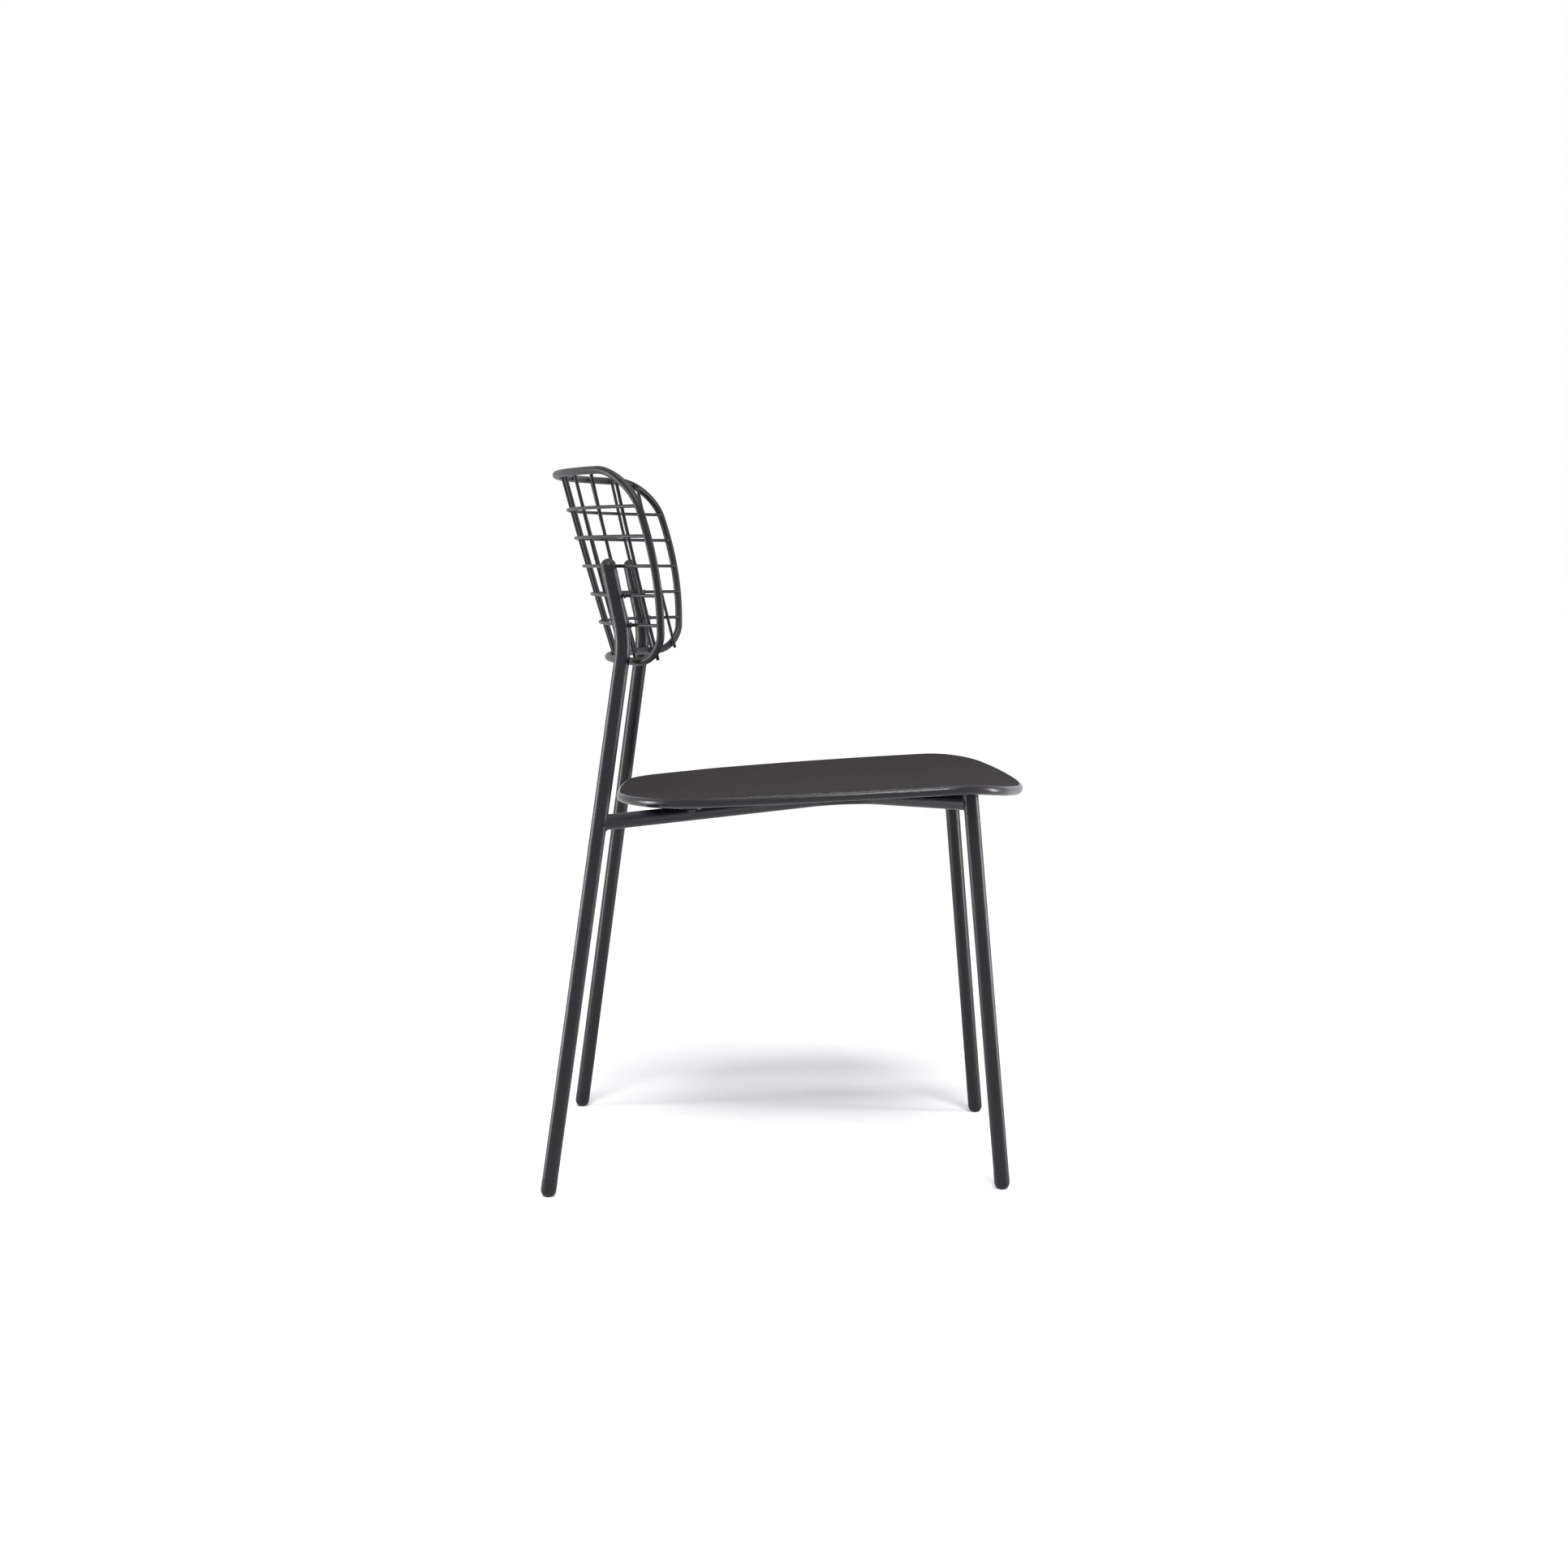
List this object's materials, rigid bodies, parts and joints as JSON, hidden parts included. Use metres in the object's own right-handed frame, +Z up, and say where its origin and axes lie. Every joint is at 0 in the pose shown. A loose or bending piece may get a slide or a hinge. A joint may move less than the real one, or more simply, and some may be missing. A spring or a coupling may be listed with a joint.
{
  "type": "wire mesh chair",
  "caption": "Armless side chair with a bent steel tube frame, a formed steel seat and a low wrap-round backrest of welded wire mesh.",
  "frame": {"origin": "on the floor, under the middle of the chair's outer box", "axes": "+Z up, the front of the seat to -Y, the sitter's left to +X"},
  "size_m": [0.5064, 0.5686, 0.832],
  "materials": {
    "frame_paint": "fine-textured matt powder coat, anthracite",
    "seat_paint": "fine-textured matt powder coat, anthracite",
    "plug_plastic": "moulded satin plastic, anthracite",
    "glide_plastic": "moulded matt plastic, near black",
    "plated_steel": "black zinc plated"
  },
  "bodies": {
    "root": {"back_frame": "frame_paint", "back_wire_horizontal_1": "frame_paint", "back_wire_horizontal_2": "frame_paint", "back_wire_horizontal_3": "frame_paint", "back_wire_horizontal_4": "frame_paint", "back_wire_horizontal_5": "frame_paint", "back_wire_vertical_1": "frame_paint", "back_wire_vertical_10": "frame_paint", "back_wire_vertical_2": "frame_paint", "back_wire_vertical_3": "frame_paint", "back_wire_vertical_4": "frame_paint", "back_wire_vertical_5": "frame_paint", "back_wire_vertical_6": "frame_paint", "back_wire_vertical_7": "frame_paint", "back_wire_vertical_8": "frame_paint", "back_wire_vertical_9": "frame_paint", "foot_glide_front_left": "glide_plastic", "foot_glide_front_right": "glide_plastic", "foot_glide_rear_left": "glide_plastic", "foot_glide_rear_right": "glide_plastic", "front_leg_cap_left": "plug_plastic", "front_leg_cap_right": "plug_plastic", "front_leg_left": "frame_paint", "front_leg_right": "frame_paint", "rear_leg_left": "frame_paint", "rear_leg_plug_left": "plug_plastic", "rear_leg_plug_right": "plug_plastic", "rear_leg_right": "frame_paint", "seat_bush_front_left": "plated_steel", "seat_bush_front_right": "plated_steel", "seat_bush_rear_left": "plated_steel", "seat_bush_rear_right": "plated_steel", "seat_mount_plate_front_left": "frame_paint", "seat_mount_plate_front_right": "frame_paint", "seat_mount_plate_rear_left": "frame_paint", "seat_mount_plate_rear_right": "frame_paint", "seat_rail_left": "frame_paint", "seat_rail_right": "frame_paint", "seat_screws": "plated_steel", "seat_shell": "seat_paint"}
  },
  "joints": []
}
